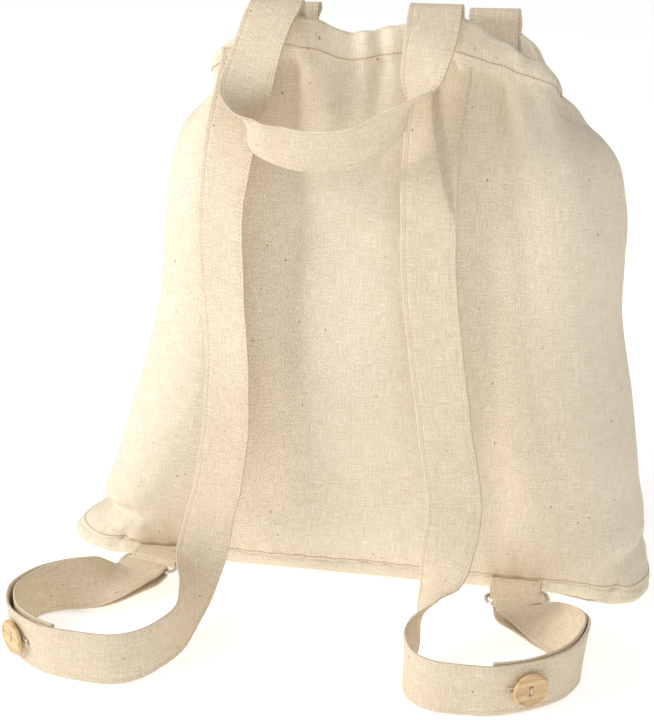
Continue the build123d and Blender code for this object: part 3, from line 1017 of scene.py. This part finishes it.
def hole_lines(frame, length, face, off):
    """Dense cross stitches round a buttonhole."""
    middle, across, normal = frame
    way = normal.cross(across)
    lie = normal * face
    found = []
    for side in (-1, 1):
        line = []
        for k in range(3):
            u = (k - 1) * length / 2
            line.append((middle + way * u + across * side * off + lie * 0.00095, across, lie))
        found.append(line)
    for end in (-1, 1):
        line = []
        for k in range(3):
            v = (k - 1) * off * 1.6
            line.append((middle + way * end * length / 2 + across * v + lie * 0.00095, way, lie))
        found.append(line)
    return found


def shoulder_strap(side, route, ring, stations, form, seed):
    button_at, end_at, spare_at = stations
    along, inward, bar = ring_lines(ring)
    up = Vector((0, 0, 1))
    arrive = bar - up * fold_radius
    before = arrive - inward * 0.014 + up * 0.0006
    full = route + [(tuple(before), tuple(along)), (tuple(arrive), tuple(along))]
    last = len(full) - 1
    outer = band_frames(full, 0, last)
    turn = []
    for k in range(1, 12):
        a = math.pi * k / 12
        out = up * -math.cos(a) + inward * math.sin(a)
        turn.append((bar + out * fold_radius, along, out * -1))
    inner = band_frames(full, end_at, last)
    returned, run = [], 0.0
    for k, (middle, width, normal) in enumerate(reversed(inner)):
        if k:
            run += (middle - inner[-k][0]).length
        near = 1 - step(run, 0, 0.045)
        gap = layer_gap + (2 * fold_radius - layer_gap) * near
        returned.append((middle + normal * gap, width, normal * -1))
    frames = rumpled(outer, seed, 0.0019)[:-1] + turn + returned
    name = f"{side}_strap"
    band = band_piece(name, frames, strap_width, strap_thick, strap_canvas, form)
    for at in (button_at, spare_at):
        frame = band_frames(full, at, at + 0.01)[0]
        cut_out(band, slit_round(frame, 0.028, 0.0016))
    seams = edge_lines(frames, strap_width, strap_thick, form)
    cross = []
    for back in (3, 8):
        middle, across, normal = returned[-back]
        for face in (1, -1):
            line = []
            for k in range(9):
                a = (k - 4) / 4 * 0.8
                place = middle + across * (a * strap_width / 2)
                place = place + normal * (face * strap_thick / 2)
                line.append((place, across, normal * face))
            cross.append(line)
    topstitch = sew(f"{name}_topstitch", seams + cross, sewing_thread)
    holes = []
    for at in (button_at, spare_at):
        frame = band_frames(full, at, at + 0.01)[0]
        holes += hole_lines(frame, 0.028, -1, 0.0016)
    hole_stitch = sew(
        f"{name}_buttonhole_stitch", holes, sewing_thread, 0.00048, 0.0017, 0.00022, 0.0004
    )
    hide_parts(f"{side}_shoulder_strap", f"{side}_strap_loop", f"{side}_strap_end")
    low = band_frames(full, 8.6, 8.61)[0][0]
    for piece in (band, topstitch, hole_stitch):
        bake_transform(piece)
    round(length_of(frames), 3)


def left_lie(run, share):
    return 0.0008 * math.sin(run * 40) * share


def right_lie(run, share):
    """A pleat taken when the strap was sewn in: one edge laps over, slantwise."""
    lap = step(share, -0.62 + run * 13, -0.50 + run * 13)
    raised = 0.0045 * (1 - lap) * step(run, 0.004, 0.02) * (1 - step(run, 0.085, 0.125))
    return raised + 0.0008 * math.sin(run * 37) * share


shoulder_strap("left", left_route, left_ring, left_stations, left_lie, 11.0)
shoulder_strap("right", right_route, right_ring, right_stations, right_lie, 17.0)


# ---- Ring tabs ---------------------------------------------------------------------------------
# Short loops of strap cloth sewn into the base seam, one at each side, that hold the rings.
tab_thick, tab_ply_gap, tab_turn_radius = 0.0012, 0.0008, 0.0031


def ring_tab(side, ring, root_x):
    along, inward, bar = ring_lines(ring)
    up, sideways = Vector((0, 0, 1)), Vector((1, 0, 0))
    root = Vector((root_x, -0.0595, 0.013))
    turn = []
    for k in range(13):
        a = math.pi * k / 12
        out = up * math.cos(a) - inward * math.sin(a)
        turn.append((ring[1] + out * tab_turn_radius, along, out))
    start, final = root + up * tab_ply_gap, root - up * tab_ply_gap
    frames = [(root + up * 0.0007 + Vector((0, 0.005, 0.0004)), sideways, up)]
    for k in range(6):
        t = k / 6
        way = sideways.lerp(along, t).normalized()
        frames.append((start.lerp(turn[0][0], t), way, up))
    frames += turn
    for k in range(1, 7):
        t = k / 6
        way = along.lerp(sideways, t).normalized()
        frames.append((turn[-1][0].lerp(final, t), way, up * -1))
    band = band_piece(f"{side}_ring_tab", frames, strap_width, tab_thick, strap_canvas)
    lines = edge_lines(frames, strap_width, tab_thick, faces=(1,))
    seams = sew(f"{side}_tab_stitches", lines, sewing_thread)
    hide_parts(f"{side}_tab")
    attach(band, "bag")
    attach(seams, "bag")
    flat = (strap_width, round(length_of(frames), 3))


ring_tab("left", left_ring, -0.152)
ring_tab("right", right_ring, 0.121)


# ---- Draw bands --------------------------------------------------------------------------------
# A flat band of the same cloth lies inside each hem, out of sight: only its middle stretch is
# here.
tape_width, tape_thick, tape_length, tape_share = 0.014, 0.0014, 0.150, 0.50


def draw_band(side, facing, table, hem, form):
    row = list(table[-1][1:])
    row[0], row[1], row[2] = (row[k] - 0.0037 for k in range(3))
    frames = []
    for k in range(101):
        at = (-1 + 2 * k / 100) * tape_share
        x, y, nx, ny, length = round_the_bag(row, at)
        seam, edge, lean = hem_at(hem, at)
        normal = Vector((nx, facing * ny, 0))
        place = Vector((x, facing * y, (seam + edge) / 2))
        place = place + normal * (form(x, table[-1][0]) * 0.2 - lean * 0.5)
        frames.append((place, Vector((0, 0, 1)), normal))
    band = band_piece(f"{side}_draw_tape", frames, tape_width, tape_thick, strap_canvas)
    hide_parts(f"{side}_draw_band")
    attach(band, "bag")


draw_band("back", -1, back_rows, back_hem, back_form)
draw_band("front", 1, front_rows, front_hem, front_form)


# ---- Rings -------------------------------------------------------------------------------------
# Rectangular rings of bent steel wire, nickel plated and a little scuffed where the cloth runs.
def plated_finish():
    f = Finish("plated_wire")
    solid = f.node("ShaderNodeTexCoord", out=3)
    scuff = f.node("ShaderNodeTexNoise", inputs={"Vector": solid, "Scale": 700.0, "Detail": 4.0})
    tint = f.tint(scuff, (0.56, 0.56, 0.55), (0.80, 0.80, 0.79))
    dent = f.node("ShaderNodeBump", inputs={"Height": scuff, "Strength": 0.2, "Distance": 0.0001})
    f.shade(Base_Color=tint, Metallic=1.0, Roughness=0.16 + scuff * 0.22, Normal=dent)
    return f.material


plated_wire = plated_finish()
for side in ("left", "right"):
    ring = frame["nodes"][f"{side}_ring"]
    ring.data.materials.clear()
    ring.data.materials.append(plated_wire)


# ---- Buttons -------------------------------------------------------------------------------------
# Turned from pale wood: a shallow dish with a rounded raised rim and two holes, oiled. Each is
# sewn to the strap's inner end with a few turns of thick thread and comes out through a slit.
button_thick = 0.0040
hole_radius, hole_apart = 0.0013, 0.0050


def wood_finish(name, across, up):
    """Pale wood with fine grain. across and up are the button's own directions; up is not used."""
    f = Finish(name)
    solid = f.node("ShaderNodeTexCoord", out=3)
    spin = math.atan2(across.y, across.x)
    turned_ = f.node("ShaderNodeMapping", inputs={"Vector": solid, "Rotation": (0, 0, -spin)})
    drawn = f.node(
        "ShaderNodeMapping", inputs={"Vector": turned_, "Scale": (25.0, 60.0, 420.0)}
    )
    grain = f.node(
        "ShaderNodeTexNoise",
        inputs={"Vector": drawn, "Scale": 1.0, "Detail": 5.0, "Distortion": 0.4},
    )
    pores = f.node(
        "ShaderNodeMapping", inputs={"Vector": turned_, "Scale": (180.0, 300.0, 3400.0)}
    )
    pore = f.node("ShaderNodeTexNoise", inputs={"Vector": pores, "Scale": 1.0, "Detail": 3.0})
    stops = [
        (0.30, (0.50, 0.30, 0.13)),
        (0.72, (0.80, 0.60, 0.35)),
        (0.48, (0.68, 0.46, 0.23)),
        (0.56, (0.75, 0.54, 0.30)),
    ]
    share = grain * 0.75 + pore * 0.25
    tint = f.node("ShaderNodeValToRGB", {"stops": stops}, {"Fac": share})
    height = grain + pore
    relief = f.node(
        "ShaderNodeBump", inputs={"Height": height, "Strength": 0.35, "Distance": 0.00015}
    )
    f.shade(Base_Color=tint, Roughness=0.42 + pore * 0.2, Normal=relief)
    f.shade(Coat_Weight=0.15, Coat_Roughness=0.35)
    return f.material


button_profile = [  # radius and height of the turned outline, from the middle of the underside
    (0.0001, 0.0), (0.0060, 0.0), (0.0100, 0.0002), (0.0117, 0.0008), (0.01245, 0.0017),
    (0.0125, 0.0024), (0.0123, 0.0032), (0.0118, 0.0038), (0.0112, 0.0040), (0.0106, 0.00385),
    (0.0101, 0.0034), (0.0096, 0.0031), (0.0088, 0.0030), (0.0060, 0.0030), (0.0001, 0.0031),
]


def turned_button(side):
    turn = next(j for j in frame["joints"] if j["name"] == f"{side}_button_turn")
    outward = Vector(turn["axis"])
    low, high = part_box(f"{side}_button")
    centre = (Vector(low) + Vector(high)) / 2
    up = Vector((0, 0, 1))
    across = up.cross(outward).normalized()
    seat = centre - outward * button_thick / 2
    around = 64
    points, faces = [], []
    for radius, height in button_profile:
        for k in range(around):
            a = 2 * math.pi * k / around
            rim = across * radius * math.cos(a) + up * radius * math.sin(a)
            points.append(seat + rim + outward * height)
    for r in range(len(button_profile) - 1):
        for k in range(around):
            a, b = r * around + k, r * around + (k + 1) % around
            faces.append((a, b, b + around, a + around))
    faces.append(tuple(reversed(range(around))))
    faces.append(tuple(range((len(button_profile) - 1) * around, len(button_profile) * around)))
    wood = wood_finish(f"{side}_button_wood", across, up)
    made = add_piece(f"{side}_turned_button", points, faces, wood)
    face_outwards(made)
    for place in (-1, 1):
        drill = []
        for deep in (-0.002, 0.006):
            for k in range(20):
                a = 2 * math.pi * k / 20
                drill.append(
                    seat
                    + across * hole_radius * math.cos(a)
                    + up * (hole_radius * math.sin(a) + place * hole_apart / 2)
                    + outward * deep
                )
        shell = [(k, (k + 1) % 20, 20 + (k + 1) % 20, 20 + k) for k in range(20)]
        shell += [tuple(reversed(range(20))), tuple(range(20, 40))]
        block = add_piece("drill", drill, shell, wood)
        face_outwards(block)
        cut_out(made, block)
    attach(made, f"{side}_button")
    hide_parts(f"{side}_button")

    strands = bpy.data.curves.new(f"{side}_button_thread_line", "CURVE")
    strands.dimensions = "3D"
    strands.bevel_depth = 0.00026
    strands.bevel_resolution = 3
    for offset in (-0.0003, 0.0003):
        loop = [
            (-0.0025, -0.0030), (-0.0025, 0.0028), (-0.0018, 0.00365),
            (0.0018, 0.00365), (0.0025, 0.0028), (0.0025, -0.0030),
        ]
        line = strands.splines.new("NURBS")
        line.points.add(len(loop) - 1)
        for point, (v, h) in zip(line.points, loop):
            point.co = (*(seat + up * v + across * offset + outward * h), 1)
        line.order_u = 3
        line.use_endpoint_u = True
    holder = bpy.data.objects.new(f"{side}_button_thread_line", strands)
    bpy.context.collection.objects.link(holder)
    bpy.context.view_layer.update()
    seen = holder.evaluated_get(bpy.context.evaluated_depsgraph_get())
    mesh = bpy.data.meshes.new_from_object(seen)
    bpy.data.objects.remove(holder)
    mesh.materials.clear()
    mesh.materials.append(sewing_thread)
    thread = bpy.data.objects.new(f"{side}_button_sewing", mesh)
    bpy.context.collection.objects.link(thread)
    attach(thread, f"{side}_button")
    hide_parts(f"{side}_button_thread")


turned_button("left")
turned_button("right")
